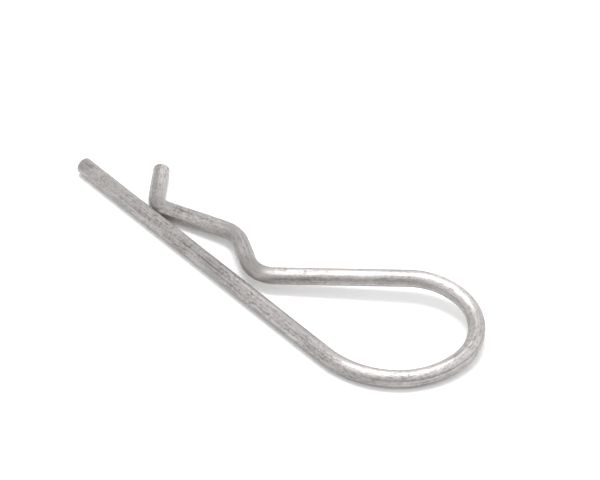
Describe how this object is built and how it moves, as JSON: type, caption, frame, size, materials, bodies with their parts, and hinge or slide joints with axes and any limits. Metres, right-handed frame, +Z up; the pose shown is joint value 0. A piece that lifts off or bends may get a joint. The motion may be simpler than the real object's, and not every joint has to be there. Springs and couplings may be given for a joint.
{
  "type": "axle pin",
  "caption": "Hairpin-style spring-wire retaining pin with a straight leg, a wide round bow and a waved leg that grips round an axle.",
  "frame": {"origin": "centre of the part's bounding box in plan, on the plane that the pin lies on", "axes": "+X along the straight leg from its cut end towards the bow, +Y from the straight leg towards the waved leg, +Z up from the plane that the pin lies on"},
  "size_m": [0.0644, 0.022, 0.0045],
  "materials": {
    "wire": "bright drawn spring wire with fine lengthwise die lines, slightly dull at the bends"
  },
  "bodies": {
    "root": {"wire": "wire"}
  },
  "joints": []
}
